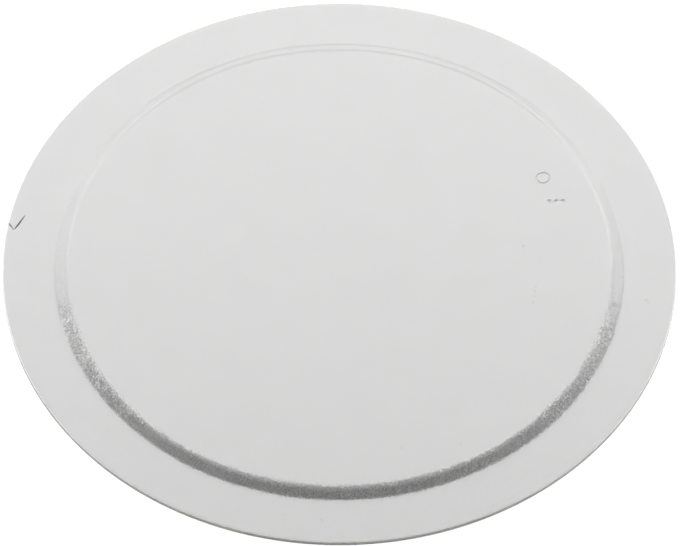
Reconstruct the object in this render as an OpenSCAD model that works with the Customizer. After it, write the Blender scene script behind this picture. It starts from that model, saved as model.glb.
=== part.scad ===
// Round cover that lies over the antenna in the floor of a microwave oven.
// One moulding of even wall: a flat rim, an S-shaped step and a raised flat centre.
// It lies on its rim, with +Z up, and the origin is in the middle of its underside.

/* [Outline] */
// Diameter over the rim
cover_d = 225; // [215:0.5:260]
// Wall of the moulding, the same from the centre to the rim
wall = 1.5; // [1:0.1:2.2]
// Rounding of the rim's two outer corners
rim_edge_r = 0.3; // [0.1:0.05:0.45]

/* [Raised centre] */
// Diameter of the flat top, up to where the step starts to bend
top_flat_d = 180.4; // [120:0.1:200]
// Height of the top over the rim
rise = 2.05; // [1.2:0.05:4]
// Slope of the step's straight stretch, in degrees from level
step_slope = 31; // [22:1:44]
// Radius of the upper face where the top bends down into the step
crest_r = 4.2; // [2.6:0.1:8]
// Radius of the upper face where the step runs out into the rim
foot_r = 2; // [0.6:0.1:6]

/* [Crack in the rim] */
// Bearing of the crack's open end, in degrees from +X
crack_bearing = 169.8; // [0:0.1:359.9]
// Length of the leg that runs in from the edge to the corner
crack_in_l = 3.3; // [2:0.1:4.5]
// Turn of that leg from the straight way in, in degrees
crack_in_turn = -48; // [-60:1:-30]
// Length of the leg that runs on from the corner
crack_on_l = 7; // [3:0.1:9]
// Turn of that leg from the straight way in, in degrees
crack_on_turn = 69; // [40:1:75]
// Width of the crack where it is open
crack_w = 0.35; // [0.15:0.05:0.6]
// Width of the crack where it dies out
crack_end_w = 0.1; // [0.05:0.05:0.15]

/* [Hidden] */

cover_r = cover_d / 2;
top_flat_r = top_flat_d / 2;

// The two bends together fall by this much, and the straight slope falls by the rest.
bends_fall = (crest_r + foot_r) * (1 - cos(step_slope));
slope_l = (rise - bends_fall) / sin(step_slope);
foot_end_r = top_flat_r + (crest_r + foot_r) * sin(step_slope) + slope_l * cos(step_slope);

// Centres of the roundings in the section, as radius and height
crest_centre = [top_flat_r, rise + wall - crest_r];
foot_centre = [foot_end_r, wall + foot_r];
rim_upper_centre = [cover_r - rim_edge_r, wall - rim_edge_r];
rim_lower_centre = [cover_r - rim_edge_r, rim_edge_r];

// Straight steps along a bend and along a rim corner
bend_steps = 16;
corner_steps = 6;

// Length by which a cut runs past the face that it opens
cut_past = 1;

// Bearing of the straight way in from the crack's open end, and the crack's corner
way_in = crack_bearing + 180;
crack_corner = cover_r * toward(crack_bearing) + crack_in_l * toward(way_in + crack_in_turn);

$fn = 240;

// Unit step in the plane at a bearing
function toward(bearing) = [cos(bearing), sin(bearing)];

// Points of an arc about a centre, from one bearing to another
function arc(centre, r, start, end, steps) = [
    for (i = [0:steps]) centre + r * toward(start + (end - start) * i / steps)
];

// The section runs out along the underside, round the rim and back along the top.
// Both faces bend about the same two centres, so the wall stays even down the step.
module cover_section() {
    polygon(concat(
        [[0, rise]],
        arc(crest_centre, crest_r - wall, 90, 90 - step_slope, bend_steps),
        arc(foot_centre, foot_r + wall, 270 - step_slope, 270, bend_steps),
        arc(rim_lower_centre, rim_edge_r, 270, 360, corner_steps),
        arc(rim_upper_centre, rim_edge_r, 0, 90, corner_steps),
        arc(foot_centre, foot_r, 270, 270 - step_slope, bend_steps),
        arc(crest_centre, crest_r, 90 - step_slope, 90, bend_steps),
        [[0, rise + wall]]
    ));
}

// One leg of the crack, from the origin along +X, which overlaps the other at the corner
module crack_leg(length, near_w, far_w) {
    polygon([
        [-near_w / 2, -near_w / 2],
        [length, -far_w / 2],
        [length, far_w / 2],
        [-near_w / 2, near_w / 2]
    ]);
}

// The crack goes right through the rim: in from the edge, round a corner, and on
// until it dies out. The tongue between its two legs is still joined to the rim.
module crack() {
    translate([crack_corner.x, crack_corner.y, -cut_past])
        linear_extrude(height = wall + 2 * cut_past) {
            rotate(way_in + crack_in_turn + 180)
                crack_leg(crack_in_l + cut_past, crack_w, crack_w);
            rotate(way_in + crack_on_turn)
                crack_leg(crack_on_l, crack_w, crack_end_w);
        }
}

module cover() {
    color("gainsboro")
        difference() {
            rotate_extrude()
                cover_section();
            crack();
        }
}

cover();
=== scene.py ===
# %% [markdown]
# A round cover for the antenna in a microwave oven's floor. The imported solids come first, because
# they fix where everything is. Their box is kept, so that the finished look can be set against it.

# %% Load the fixed frame
from math import cos, pi, radians, sin

import bmesh
import bpy
from mathutils import Matrix, Vector


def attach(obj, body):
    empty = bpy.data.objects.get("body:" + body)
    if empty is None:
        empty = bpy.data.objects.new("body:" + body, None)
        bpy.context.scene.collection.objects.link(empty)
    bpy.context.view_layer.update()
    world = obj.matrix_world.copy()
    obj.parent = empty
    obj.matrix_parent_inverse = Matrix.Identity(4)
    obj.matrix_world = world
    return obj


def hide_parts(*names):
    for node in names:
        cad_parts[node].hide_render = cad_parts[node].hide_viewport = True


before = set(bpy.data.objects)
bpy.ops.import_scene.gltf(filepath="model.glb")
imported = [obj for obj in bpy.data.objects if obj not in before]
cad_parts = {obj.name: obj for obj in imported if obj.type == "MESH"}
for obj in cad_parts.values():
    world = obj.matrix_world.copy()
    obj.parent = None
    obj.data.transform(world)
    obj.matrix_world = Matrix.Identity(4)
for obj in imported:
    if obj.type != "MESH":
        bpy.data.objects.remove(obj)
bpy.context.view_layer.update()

MM = 0.001

# %% [markdown]
# The real cover is one injection moulding of even wall: a flat rim, an S-shaped step and a raised
# flat centre. A sheet of even wall is best drawn as its upper face alone and thickened afterwards.
# The line below is half of that face, from the axis outwards. A spin of its last point draws each
# bend, so a bend is a true arc and runs smoothly into the straight stretches on both sides of it.

# %% Sizes of the section, the same as in the solids
RIM_R = 112.5 * MM
WALL = 1.5 * MM
RISE = 2.05 * MM
TOP_FLAT_R = 90.2 * MM
STEP_SLOPE = radians(31)
CREST_R = 4.2 * MM
FOOT_R = 2 * MM
RIM_EDGE_R = 0.3 * MM

TOP_Z = WALL + RISE
straight_l = (RISE - (CREST_R + FOOT_R) * (1 - cos(STEP_SLOPE))) / sin(STEP_SLOPE)
foot_end_r = TOP_FLAT_R + (CREST_R + FOOT_R) * sin(STEP_SLOPE) + straight_l * cos(STEP_SLOPE)
print(f"the step runs out at radius {foot_end_r / MM:.2f} mm,",
      f"after {straight_l / MM:.2f} mm of straight slope")

# %% A pen that draws straight or round
bm = bmesh.new()


def straight(pen, to_r, to_z):
    """Extrudes the pen's point in a straight line to a radius and a height."""
    new = bmesh.ops.extrude_vert_indiv(bm, verts=[pen])["verts"][0]
    new.co = Vector((to_r, 0, to_z))
    return new


def bend(pen, centre_r, centre_z, angle, steps):
    """Spins the pen's point about a centre. A positive angle bends the line down."""
    made = bmesh.ops.spin(bm, geom=[pen], cent=(centre_r, 0, centre_z), axis=(0, 1, 0),
                          dvec=(0, 0, 0), angle=angle, steps=steps, use_merge=False)
    return next(g for g in made["geom_last"] if isinstance(g, bmesh.types.BMVert))


# %% Draw the line from the axis to the rim
# The points along the flat faces lie close together beside a bend, so that the shading stays flat.
TOP_RINGS = [30 * MM, 60 * MM, 84 * MM, 89.4 * MM, TOP_FLAT_R]
RIM_RINGS = [foot_end_r + 0.8 * MM, 101 * MM, 107 * MM, 111.4 * MM, RIM_R]
CREST_STEPS = 16
FOOT_STEPS = 12
pen = bmesh.ops.create_vert(bm, co=(0, 0, TOP_Z))["vert"][0]
for ring_r in TOP_RINGS:
    pen = straight(pen, ring_r, TOP_Z)
pen = bend(pen, TOP_FLAT_R, TOP_Z - CREST_R, STEP_SLOPE, CREST_STEPS)
slope_end = pen.co + Vector((cos(STEP_SLOPE), 0, -sin(STEP_SLOPE))) * straight_l
pen = straight(pen, slope_end.x, slope_end.z)
pen = bend(pen, foot_end_r, WALL + FOOT_R, -STEP_SLOPE, FOOT_STEPS)
for ring_r in RIM_RINGS:
    pen = straight(pen, ring_r, WALL)
print("the half line has", len(bm.verts), "points")

# %% [markdown]
# One full turn makes the face, and closes on itself with use_merge. The points on the axis fall on
# one another, so they are merged, and the normals are set right before the wall gets its thickness.

# %% Spin the face and give it its wall
TURN_STEPS = 256
MERGE = 0.001 * MM
bmesh.ops.spin(bm, geom=bm.verts[:] + bm.edges[:], cent=(0, 0, 0), axis=(0, 0, 1), dvec=(0, 0, 0),
               angle=2 * pi, steps=TURN_STEPS, use_merge=True)
bmesh.ops.remove_doubles(bm, verts=bm.verts[:], dist=MERGE)
bmesh.ops.recalc_face_normals(bm, faces=bm.faces[:])
if sum(f.normal.z * f.calc_area() for f in bm.faces) < 0:
    bmesh.ops.reverse_faces(bm, faces=bm.faces[:])
bmesh.ops.solidify(bm, geom=bm.faces[:], thickness=WALL)
heights = [v.co.z / MM for v in bm.verts]
print(f"wall given, heights {min(heights):.3f} to {max(heights):.3f} mm")

# %% Round the two corners of the rim
RIM_EDGE_SEGMENTS = 8
rim_corners = [e for e in bm.edges if all(v.co.xy.length > RIM_R - MERGE for v in e.verts)
               and abs(e.verts[0].co.z - e.verts[1].co.z) < MERGE]
bmesh.ops.bevel(bm, geom=rim_corners, affect="EDGES", offset_type="OFFSET", offset=RIM_EDGE_R,
                segments=RIM_EDGE_SEGMENTS, profile=0.5, material=-1)
print("rim corners rounded:", len(rim_corners), "edges,", len(bm.faces), "faces in all")


# %% Make the moulding an object
def add_object(name, bm):
    """Makes the bmesh an object of its own, and frees it."""
    mesh = bpy.data.meshes.new(name)
    bm.to_mesh(mesh)
    bm.free()
    made = bpy.data.objects.new(name, mesh)
    bpy.context.collection.objects.link(made)
    return made


moulding = add_object("moulded_cover", bm)
print("object:", moulding.name)

# %% [markdown]
# The rim is cracked at its edge. A crack in a stiff plastic wanders a little and gapes more where
# the pieces have sprung apart. Its path is drawn as a line, pulled up to a standing ribbon, and a
# Solidify modifier makes the ribbon as wide at each point as its weight says. Cutting that out of
# the moulding leaves the real thing: a slit right through the rim, with the tongue still in place.

# %% Draw the crack's path, from the edge in to a corner and on
CRACK_GAPE = 0.8 * MM
CRACK_ABOVE = 0.3 * MM
CRACK_BELOW = 0.05 * MM
# Each point: x and y in mm, and how far the crack gapes there as a share of the widest
CRACK_PATH = [(-114.2, 21.3, 0.9), (-111.3, 20.4, 0.9), (-110.4, 19.6, 0.95),
              (-109.8, 18.7, 0.9), (-109.2, 17.9, 0.6), (-108.85, 17.05, 0.2),
              (-108.2, 17.6, 0.65), (-107.6, 18.6, 0.95), (-106.95, 19.6, 1),
              (-106.4, 20.6, 0.85), (-105.8, 21.65, 0.6), (-105.25, 22.5, 0.35),
              (-104.9, 23.1, 0.1)]

bm = bmesh.new()
path = [Vector((x * MM, y * MM, -CRACK_BELOW)) for x, y, _ in CRACK_PATH]
pen = bmesh.ops.create_vert(bm, co=path[0])["vert"][0]
for point in path[1:]:
    pen = straight(pen, 0, 0)
    pen.co = point
raised = bmesh.ops.extrude_edge_only(bm, edges=bm.edges[:])["geom"]
bmesh.ops.translate(bm, verts=[g for g in raised if isinstance(g, bmesh.types.BMVert)],
                    vec=(0, 0, CRACK_BELOW + WALL + CRACK_ABOVE))
crack_tool = add_object("crack_tool", bm)
print("crack path of", len(CRACK_PATH), "points")

# %% Open the ribbon, wider at the top than at the bottom
# Below, the crack is nearly shut, so that no floor shows through it.
CRACK_SHUT = 0.12
gape_group = crack_tool.vertex_groups.new(name="gape")
for v in crack_tool.data.vertices:
    share = min(CRACK_PATH, key=lambda p: (Vector(p[:2]) * MM - v.co.xy).length)[2]
    gape_group.add([v.index], share if v.co.z > WALL else share * CRACK_SHUT, "REPLACE")
widen = crack_tool.modifiers.new("widen", "SOLIDIFY")
widen.thickness, widen.offset, widen.vertex_group = CRACK_GAPE, 0, "gape"
widen.use_even_offset = True
print(f"the crack gapes {CRACK_GAPE / MM:.1f} mm at its widest")

# %% [markdown]
# A moulding carries small marks from its tool: an ejector pin leaves a faint ring, and a few dots
# tell one cavity of the tool from another. A ring-shaped groove is a small circle spun about the
# pin's axis, and a dot is the lower cap of a ball. Both are shallow: a mark has to show, but not
# weaken the wall.

# %% Make the tool of the ring
PIN_AT = Vector((68.1 * MM, 37 * MM, TOP_Z))
PIN_R = 2.2 * MM
GROOVE_R = 0.6 * MM
GROOVE_UP = 0.46 * MM
GROOVE_SIDES = 40
GROOVE_STEPS = 64

bm = bmesh.new()
groove = bmesh.ops.create_circle(bm, segments=GROOVE_SIDES, radius=GROOVE_R)["verts"]
bmesh.ops.rotate(bm, verts=groove, cent=(0, 0, 0), matrix=Matrix.Rotation(radians(90), 3, "X"))
bmesh.ops.translate(bm, verts=groove, vec=PIN_AT + Vector((PIN_R, 0, GROOVE_UP)))
bmesh.ops.spin(bm, geom=bm.verts[:] + bm.edges[:], cent=PIN_AT, axis=(0, 0, 1), dvec=(0, 0, 0),
               angle=2 * pi, steps=GROOVE_STEPS, use_merge=True)
bmesh.ops.remove_doubles(bm, verts=bm.verts[:], dist=MERGE)
print(f"the ring's groove is {(GROOVE_R - GROOVE_UP) / MM:.2f} mm deep")

# %% Add the balls of the three dots
DOTS_AT = Vector((72.5 * MM, 27.4 * MM, TOP_Z))
DOT_PITCH = 2.2 * MM
DOT_BALL_R = 2 * MM
DOT_UP = 1.8 * MM
BALL_ROUND = 24
BALL_DOWN = 28

for place_in_row in (-1, 0, 1):
    ball = bmesh.ops.create_uvsphere(bm, u_segments=BALL_ROUND, v_segments=BALL_DOWN,
                                     radius=DOT_BALL_R)["verts"]
    bmesh.ops.translate(bm, verts=ball, vec=DOTS_AT + Vector((place_in_row * DOT_PITCH, 0, DOT_UP)))
bmesh.ops.recalc_face_normals(bm, faces=bm.faces[:])
mark_tool = add_object("mark_tool", bm)
print(f"a dot is {(DOT_BALL_R - DOT_UP) / MM:.2f} mm deep")

# %% Cut the crack and the marks, and keep the result as a plain mesh
for tool in (crack_tool, mark_tool):
    cut = moulding.modifiers.new(tool.name, "BOOLEAN")
    cut.operation, cut.solver, cut.object = "DIFFERENCE", "EXACT", tool
shapes = bpy.context.evaluated_depsgraph_get()
cut_mesh = bpy.data.meshes.new_from_object(moulding.evaluated_get(shapes))
moulding.modifiers.clear()
moulding.data = cut_mesh
for tool in (crack_tool, mark_tool):
    bpy.data.objects.remove(tool)

# %% Shade it smooth, but for the sharp corners of the cuts
SHARP_FROM = radians(14)
for face in cut_mesh.polygons:
    face.use_smooth = True
cut_mesh.set_sharp_from_angle(angle=SHARP_FROM)
bm = bmesh.new()
bm.from_mesh(cut_mesh)
print("moulding:", len(bm.faces), "faces, volume", round(bm.calc_volume() / MM**3), "mm3,",
      sum(not e.is_manifold for e in bm.edges), "open edges")
bm.free()

# %% The moulding takes the place of the plain solid
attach(moulding, "root")
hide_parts("cover")

# %% [markdown]
# The plastic is natural, undyed polypropylene, injection moulded against an etched steel tool.
# Undyed, it is a milky pale grey with a broad, soft sheen. Light goes a little way into it, so that
# thin edges look bright, and the rim's edge is painted lighter still, as painted light. Each node
# of its material is added by the one small function below.


# %% One function for colours and one for nodes
def linear(hex_colour):
    """An sRGB hex colour as linear red, green, blue and alpha."""
    parts = [int(hex_colour[i:i + 2], 16) / 255 for i in (1, 3, 5)]
    return [c / 12.92 if c <= 0.04045 else ((c + 0.055) / 1.055) ** 2.4 for c in parts] + [1]


def node(tree, kind, values=(), links=(), **settings):
    """Adds a node with its settings, the values of its inputs, and what is linked into them."""
    made = tree.nodes.new(kind)
    for name, value in settings.items():
        setattr(made, name, value)
    for socket, value in dict(values).items():
        made.inputs[socket].default_value = value
    for socket, source in dict(links).items():
        tree.links.new(source, made.inputs[socket])
    return made


def new_material(name):
    """An empty node material and its tree."""
    made = bpy.data.materials.new(name)
    made.use_nodes = True
    made.node_tree.nodes.clear()
    return made, made.node_tree


# %% Natural polypropylene: a pale grey with a faint cloud in it
PLASTIC = "#c6c6c6"
PLASTIC_DULL = "#c2c2c2"
CLOUD = 14 * MM
CLOUD_DETAIL = 3

plastic, tree = new_material("natural_polypropylene_moulded_etched")
place = node(tree, "ShaderNodeTexCoord").outputs["Object"]
cloud = node(tree, "ShaderNodeTexNoise", {"Scale": 1 / CLOUD, "Detail": CLOUD_DETAIL},
             {"Vector": place})
# A Mix node's two colours are its inputs 6 and 7, and its output 2 gives the mixed colour.
tint = node(tree, "ShaderNodeMix", {6: linear(PLASTIC), 7: linear(PLASTIC_DULL)},
            {0: cloud.outputs["Fac"]}, data_type="RGBA")
print("material:", plastic.name)

# %% Painted light: the rim's edge painted near white where light comes out at it
EDGE_PAINTED_LIGHT = "#f7f7f4"
EDGE_FROM_R = RIM_R - 1.5 * RIM_EDGE_R
EDGE_TO_R = RIM_R - RIM_EDGE_R

in_plan = node(tree, "ShaderNodeVectorMath", {1: (1, 1, 0)}, {0: place}, operation="MULTIPLY")
from_axis = node(tree, "ShaderNodeVectorMath", links={0: in_plan.outputs["Vector"]},
                 operation="LENGTH").outputs["Value"]
at_edge = node(tree, "ShaderNodeMapRange",
               {"From Min": EDGE_FROM_R, "From Max": EDGE_TO_R, "To Min": 0, "To Max": 1},
               {"Value": from_axis})
# The near-white edge colour is painted light. It stands in for the light that comes out through the
# thin edge, not for a paler plastic.
painted_edge_light = node(tree, "ShaderNodeMix", {7: linear(EDGE_PAINTED_LIGHT)},
             {0: at_edge.outputs[0], 6: tint.outputs[2]}, data_type="RGBA")
print(f"milky from radius {EDGE_FROM_R / MM:.2f} mm")

# %% [markdown]
# The cover has been used, and a few faint specks of dirt lie on its flat faces. Each speck is a
# small ball round a point of the upper face, too small to reach the underside, and it tints the
# plastic most in its middle.

# %% A few specks of dirt
DIRT = "#8f8c86"
# Each speck: x, y and radius in mm, and how much dirt lies there
SPECKS = [(61.4, 8.7, 0.8, 0.35), (65.4, -8.4, 0.6, 0.25), (65.2, -10.1, 0.6, 0.3),
          (64.9, -12.2, 0.6, 0.25), (64.5, -14.7, 0.7, 0.25), (102.2, -12.3, 0.9, 0.3),
          (102.9, -13.5, 0.7, 0.2), (-5.8, -103.1, 0.8, 0.25), (-18.8, -101, 0.7, 0.15),
          (20.9, -75, 1.3, 0.12), (40.2, -73.4, 0.8, 0.12)]

dirt_here = None
for x, y, speck_r, dirt in SPECKS:
    at = Vector((x * MM, y * MM, 0))
    at.z = TOP_Z if at.length < TOP_FLAT_R else WALL
    away = node(tree, "ShaderNodeVectorMath", {1: at}, {0: place}, operation="DISTANCE")
    spot = node(tree, "ShaderNodeMapRange",
                {"From Min": 0, "From Max": speck_r * MM, "To Min": dirt, "To Max": 0},
                {"Value": away.outputs["Value"]}).outputs[0]
    dirt_here = spot if dirt_here is None else node(
        tree, "ShaderNodeMath", links={0: dirt_here, 1: spot}, operation="MAXIMUM").outputs[0]
soiled = node(tree, "ShaderNodeMix", {7: linear(DIRT)}, {0: dirt_here, 6: painted_edge_light.outputs[2]},
              data_type="RGBA")
print(len(SPECKS), "specks of dirt")

# %% [markdown]
# The etched tool leaves a fine grain. It sparkles where the slope of the step changes what it
# mirrors, and hardly shows on the flat faces. It also fades towards the far side of the step, where
# it doesn't show on the real one either. So its strength follows the distance from the axis and the
# distance from the near side.

# %% Where the grain shows, and how strongly
FLAT_GRAIN = 0.06
FAR_GRAIN = 0.15
CREST_FADE = 1.0 * MM
FOOT_FADE = 0.4 * MM
GRAIN_NEAR_Y = -30 * MM
GRAIN_FAR_Y = 25 * MM

into_step = node(tree, "ShaderNodeMapRange",
                 {"From Min": TOP_FLAT_R - CREST_FADE, "From Max": TOP_FLAT_R + CREST_FADE,
                  "To Min": FLAT_GRAIN, "To Max": 1}, {"Value": from_axis})
onto_rim = node(tree, "ShaderNodeMapRange",
                {"From Min": foot_end_r - FOOT_FADE, "From Max": foot_end_r + FOOT_FADE,
                 "To Min": 1, "To Max": FLAT_GRAIN}, {"Value": from_axis})
on_step = node(tree, "ShaderNodeMath", links={0: into_step.outputs[0], 1: onto_rim.outputs[0]},
               operation="MINIMUM")
axes = node(tree, "ShaderNodeSeparateXYZ", links={0: place})
nearer = node(tree, "ShaderNodeMapRange",
              {"From Min": GRAIN_NEAR_Y, "From Max": GRAIN_FAR_Y, "To Min": 1,
               "To Max": FAR_GRAIN}, {"Value": axes.outputs["Y"]})
strength = node(tree, "ShaderNodeMath", links={0: on_step.outputs[0], 1: nearer.outputs[0]},
                operation="MULTIPLY").outputs[0]
print(f"grain from radius {(TOP_FLAT_R - CREST_FADE) / MM:.1f} to",
      f"{(foot_end_r + FOOT_FADE) / MM:.1f} mm")

# %% [markdown]
# A bump texture gives soft dimples at most, and no sparkle. So the grain is drawn as small facets:
# each cell of a Voronoi pattern tips the surface's normal its own way, by the cell's random colour.
# The cells are laid out in plan, so that the slope doesn't cut some of them to slivers.

# %% Facets that lean each its own way
# Etched grain is about 0.2 mm across. It is drawn coarser here, so that it shows in the picture.
FACET = 0.36 * MM
FACET_LEAN = 0.4
MID_GREY = (0.5, 0.5, 0.5)

facets = node(tree, "ShaderNodeTexVoronoi", {"Scale": 1 / FACET}, {"Vector": place},
              voronoi_dimensions="2D")
either_way = node(tree, "ShaderNodeVectorMath", {1: MID_GREY}, {0: facets.outputs["Color"]},
                  operation="SUBTRACT")
how_far = node(tree, "ShaderNodeMath", {1: FACET_LEAN}, {0: strength}, operation="MULTIPLY")
lean = node(tree, "ShaderNodeVectorMath",
            links={"Vector": either_way.outputs[0], "Scale": how_far.outputs[0]},
            operation="SCALE")
surface = node(tree, "ShaderNodeNewGeometry").outputs["Normal"]
leaning = node(tree, "ShaderNodeVectorMath", links={0: surface, 1: lean.outputs[0]},
               operation="ADD")
facing = node(tree, "ShaderNodeVectorMath", links={0: leaning.outputs[0]},
              operation="NORMALIZE")

# %% The skin: a soft sheen, a little glossier where the facets show, and light inside
PLASTIC_IOR = 1.5
FLAT_ROUGHNESS = 0.2
STEP_ROUGHNESS = 0.15
LIGHT_INSIDE = 0.8
LIGHT_REACH = (2.2 * MM, 2.2 * MM, 1.9 * MM)

gloss = node(tree, "ShaderNodeMapRange",
             {"From Min": FLAT_GRAIN, "From Max": 1, "To Min": FLAT_ROUGHNESS,
              "To Max": STEP_ROUGHNESS}, {"Value": strength})
skin = node(tree, "ShaderNodeBsdfPrincipled",
            {"IOR": PLASTIC_IOR, "Subsurface Weight": LIGHT_INSIDE, "Subsurface Scale": 1,
             "Subsurface Radius": LIGHT_REACH},
            {"Base Color": soiled.outputs[2], "Normal": facing.outputs[0],
             "Roughness": gloss.outputs[0]})
node(tree, "ShaderNodeOutputMaterial", links={"Surface": skin.outputs["BSDF"]})
moulding.data.materials.clear()
moulding.data.materials.append(plastic)
print("material:", plastic.name, "with", len(tree.nodes), "nodes")

# %% [markdown]
# The object lies on a plain white floor, as for a catalogue picture. The floor is a real surface to
# the light, so the cover keeps its shadow on it. The camera sees it with a glow of its own added,
# and glossy and transmitted light see that glow alone, so that it is white to both. All other light
# sees plain paper.

# %% A plain floor
FLOOR_L = 4.0
FLOOR_GAP = 0.1 * MM
PAPER = "#f1f1ed"


def mirrored(tree, rays):
    """1 for glossy and transmission rays, 0 for all others."""
    return node(tree, "ShaderNodeMath", operation="MAXIMUM",
                links={0: rays["Is Glossy Ray"], 1: rays["Is Transmission Ray"]}).outputs[0]


floor_finish, tree = new_material("white_paper_sweep")
paper = node(tree, "ShaderNodeBsdfDiffuse", {"Color": linear(PAPER)})
glow = node(tree, "ShaderNodeEmission", {"Strength": 1})
lit_paper = node(tree, "ShaderNodeAddShader", links={0: paper.outputs[0], 1: glow.outputs[0]})
rays = node(tree, "ShaderNodeLightPath").outputs
to_light = node(tree, "ShaderNodeMixShader",
                links={0: mirrored(tree, rays), 1: paper.outputs[0], 2: glow.outputs[0]})
either = node(tree, "ShaderNodeMixShader",
              links={0: rays["Is Camera Ray"], 1: to_light.outputs[0], 2: lit_paper.outputs[0]})
node(tree, "ShaderNodeOutputMaterial", links={"Surface": either.outputs[0]})

bm = bmesh.new()
bmesh.ops.create_grid(bm, x_segments=1, y_segments=1, size=FLOOR_L / 2)
bmesh.ops.translate(bm, verts=bm.verts[:], vec=(0, 0, -FLOOR_GAP))
floor = add_object("floor", bm)
floor.data.materials.append(floor_finish)
print("floor of", FLOOR_L, "m")

# %% White round the scene, with no light of its own
world = bpy.data.worlds.new("studio")
bpy.context.scene.world = world
world.use_nodes = True
tree = world.node_tree
tree.nodes.clear()
dark = node(tree, "ShaderNodeBackground", {"Strength": 0})
white = node(tree, "ShaderNodeBackground", {"Color": linear("#ffffff"), "Strength": 1})
rays = node(tree, "ShaderNodeLightPath").outputs
seen = node(tree, "ShaderNodeMath", links={0: rays["Is Camera Ray"], 1: mirrored(tree, rays)},
            operation="MAXIMUM")
either = node(tree, "ShaderNodeMixShader",
              links={0: seen.outputs[0], 1: dark.outputs[0], 2: white.outputs[0]})
node(tree, "ShaderNodeOutputWorld", links={"Surface": either.outputs[0]})
print("world:", world.name)

# %% [markdown]
# The light comes from soft boxes behind the cover and beside it, so the flat faces look bright and
# the near side of the step, which faces the camera, falls into shade. The boxes at the sides are
# mirrored by the two ends of that shade, and make it fade out. Each box is given by the direction
# it stands in, its size, and how bright its face is, which is what a reflection shows of it.

# %% Soft boxes
LAMP_AWAY = 1.4
# Bearing from straight behind (right is positive) and angle of height in degrees, width and height
# in metres, and brightness
SOFT_BOXES = {
    "behind": (0, 52, 0.9, 0.5, 5.3),
    "right_of_behind": (30, 42, 0.4, 0.5, 5.25),
    "left_of_behind": (-30, 42, 0.4, 0.5, 5.25),
    "right_low": (27, 15, 0.5, 0.35, 4.1),
    "left_low": (-27, 15, 0.5, 0.35, 4.0),
    "right": (48, 23, 0.5, 0.45, 4.4),
    "left": (-48, 23, 0.5, 0.45, 4.7),
    "right_side": (63, 31, 0.3, 0.4, 8.3),
    "left_side": (-63, 31, 0.3, 0.4, 8.6),
    "right_high": (40, 62, 0.5, 0.4, 1.0),
    "left_high": (-40, 62, 0.5, 0.4, 0.8),
}
for name, (bearing, up, width, height, brightness) in SOFT_BOXES.items():
    box = bpy.data.lights.new(name, "AREA")
    box.shape, box.size, box.size_y = "RECTANGLE", width, height
    # A flat lamp of this many watts has a face of the given brightness.
    box.energy = brightness * pi * width * height
    lamp = bpy.data.objects.new(name, box)
    bpy.context.collection.objects.link(lamp)
    bearing, up = radians(bearing), radians(up)
    lamp.location = Vector((sin(bearing) * cos(up), cos(bearing) * cos(up), sin(up))) * LAMP_AWAY
    lamp.rotation_euler = (-lamp.location).to_track_quat("-Z", "Y").to_euler()
print(len(SOFT_BOXES), "soft boxes")

# %% [markdown]
# The photograph looks down on the cover from about 53 degrees, and its far and near halves are
# almost alike, so the camera stands a long way off with a long lens. The lens follows from one
# measure: how many pixels of the picture the cover's radius takes.

# %% Camera
PICTURE_W = 680
RADIUS_PX = 337.4
LOOK_DOWN = radians(53.2)
CAMERA_AWAY = 70 * RIM_R
CAMERA_REACH = 100
SIDE_PX = 0.6
LIFT_PX = -2.5
pixel = RIM_R / RADIUS_PX
back = Vector((0, -cos(LOOK_DOWN), sin(LOOK_DOWN)))
up_in_picture = Vector((0, sin(LOOK_DOWN), cos(LOOK_DOWN)))
aim = Vector((SIDE_PX * pixel, 0, WALL)) + up_in_picture * LIFT_PX * pixel

lens = bpy.data.cameras.new("camera")
lens.lens = lens.sensor_width * CAMERA_AWAY / (PICTURE_W * pixel)
lens.clip_end = CAMERA_REACH
camera = bpy.data.objects.new("camera", lens)
bpy.context.collection.objects.link(camera)
camera.location = aim + back * CAMERA_AWAY
camera.rotation_euler = (-back).to_track_quat("-Z", "Y").to_euler()
bpy.context.scene.camera = camera
bpy.context.scene.view_settings.view_transform = "Standard"
print(f"camera {CAMERA_AWAY:.2f} m away, lens {lens.lens:.0f} mm")
